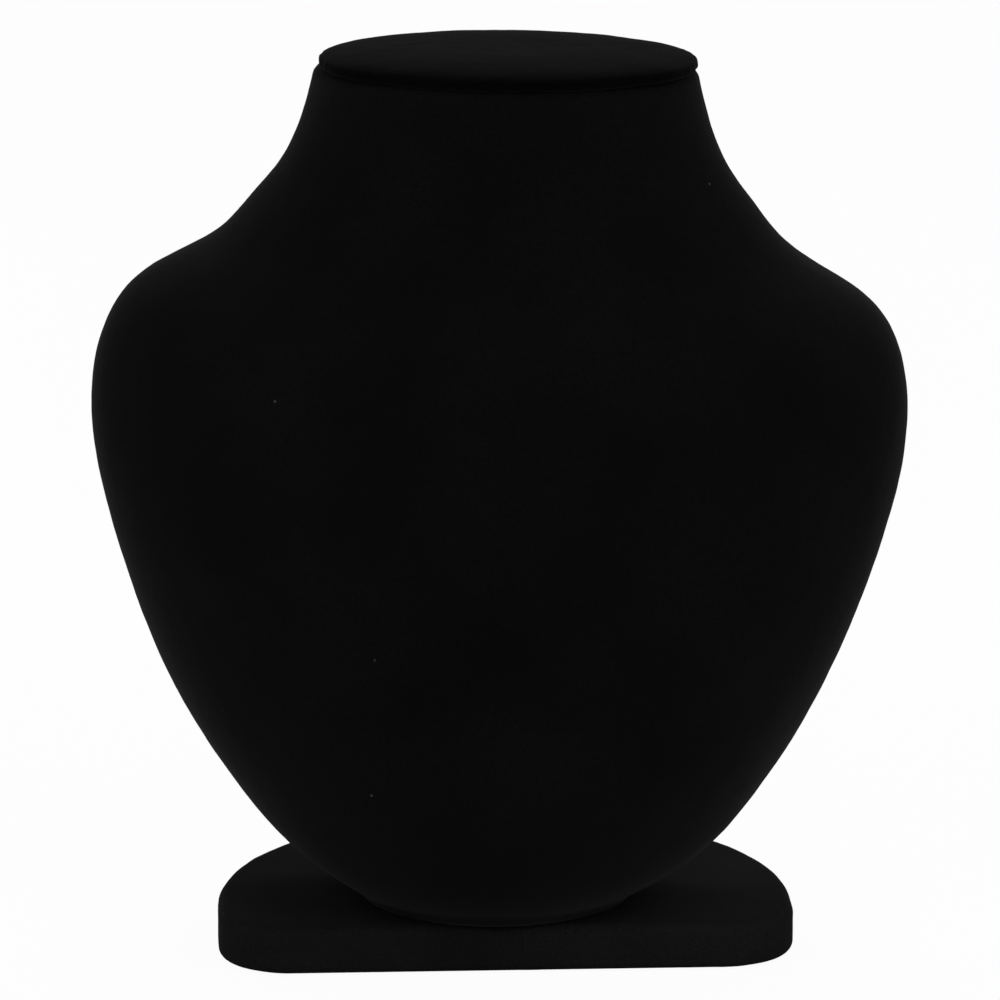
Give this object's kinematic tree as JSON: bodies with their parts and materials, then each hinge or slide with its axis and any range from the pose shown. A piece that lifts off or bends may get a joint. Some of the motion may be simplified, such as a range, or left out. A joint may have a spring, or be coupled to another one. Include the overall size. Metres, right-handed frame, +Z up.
{
  "type": "necklace bust display stand",
  "caption": "Black velvet-covered necklace bust with a padded oval neck cap on a flat D-shaped velvet base.",
  "frame": {"origin": "middle of the base's underside, on the surface it stands on", "axes": "+X to the viewer's right, -Y towards the viewer and the base's straight front edge, +Z up to the neck"},
  "size_m": [0.1891, 0.1156, 0.2105],
  "materials": {
    "velvet": "matte black velvet",
    "felt": "thin black felt",
    "foam": "thin soft padding",
    "board": "plain fibreboard",
    "pine": "planed softwood",
    "shell": "moulded, matte",
    "steel": "zinc plated"
  },
  "bodies": {
    "root": {"base_liner": "felt", "base_board": "board", "base_velvet": "velvet", "base_screws": "steel", "mounting_block": "pine", "bust_shell": "shell", "bust_velvet": "velvet", "back_panel": "board", "back_velvet": "velvet", "cap_board": "board", "cap_foam": "foam", "cap_velvet": "velvet"}
  },
  "joints": []
}
